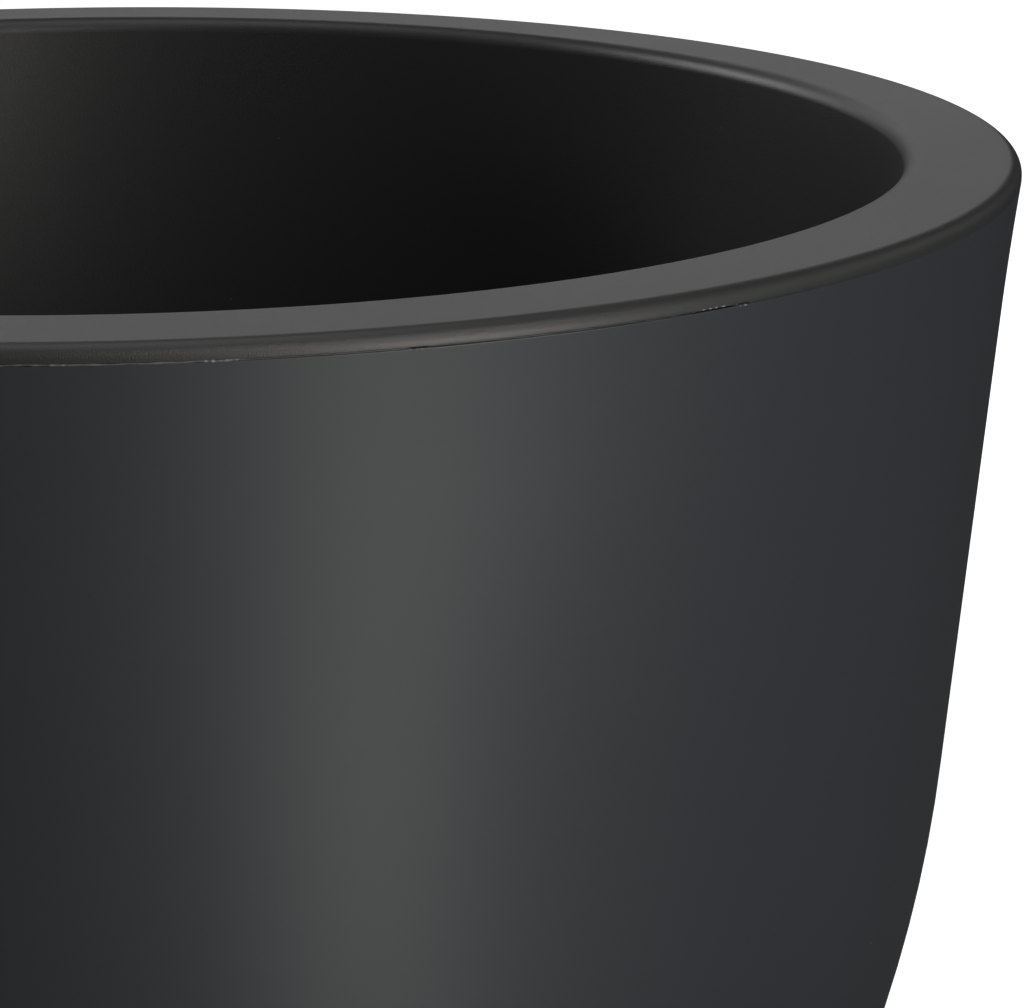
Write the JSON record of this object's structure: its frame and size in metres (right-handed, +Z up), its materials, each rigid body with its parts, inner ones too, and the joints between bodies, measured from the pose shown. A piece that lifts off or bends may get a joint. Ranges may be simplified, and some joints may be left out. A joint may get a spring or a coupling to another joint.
{
  "type": "floor planter",
  "caption": "Round cup-shaped double-walled floor planter with a broad flat rim, lift-out planting insert, drainage grid and screw-in drain bung.",
  "frame": {"origin": "on the floor, on the pot's vertical axis", "axes": "+Z up along the pot's axis; X and Y lie on the floor through opposite pairs of foot pads"},
  "size_m": [0.4, 0.4, 0.3],
  "materials": {
    "shell_plastic": "smooth satin",
    "insert_plastic": "fine grain",
    "grid_plastic": "matte",
    "bung_plastic": "matte",
    "gasket_rubber": "matte",
    "pad_rubber": "matte"
  },
  "bodies": {
    "shell": {"outer_shell": "shell_plastic", "foot_pad_1": "pad_rubber", "foot_pad_2": "pad_rubber", "foot_pad_3": "pad_rubber", "foot_pad_4": "pad_rubber"},
    "insert": {"planting_insert": "insert_plastic"},
    "grid": {"drainage_grid": "grid_plastic"},
    "gasket": {"bung_gasket": "gasket_rubber"},
    "bung": {"drain_bung": "bung_plastic"}
  },
  "joints": [
    {"name": "insert_lift", "type": "slide", "parent": "shell", "child": "insert", "axis": [0, 0, 1], "range_m": [0, 0.3]},
    {"name": "grid_lift", "type": "slide", "parent": "insert", "child": "grid", "axis": [0, 0, 1], "range_m": [0, 0.27]},
    {"name": "bung_lift", "type": "slide", "parent": "shell", "child": "gasket", "axis": [0, 0, 1], "range_m": [0, 0.0121]},
    {"name": "bung_turn", "type": "hinge", "parent": "gasket", "child": "bung", "pos_m": [0, 0, 0.0145], "axis": [0, 0, 1], "range_deg": [0, 1440]}
  ],
  "couplings": [
    {"joint": "bung_lift", "follows": "bung_turn", "m_per_rad": 0.00047746}
  ]
}
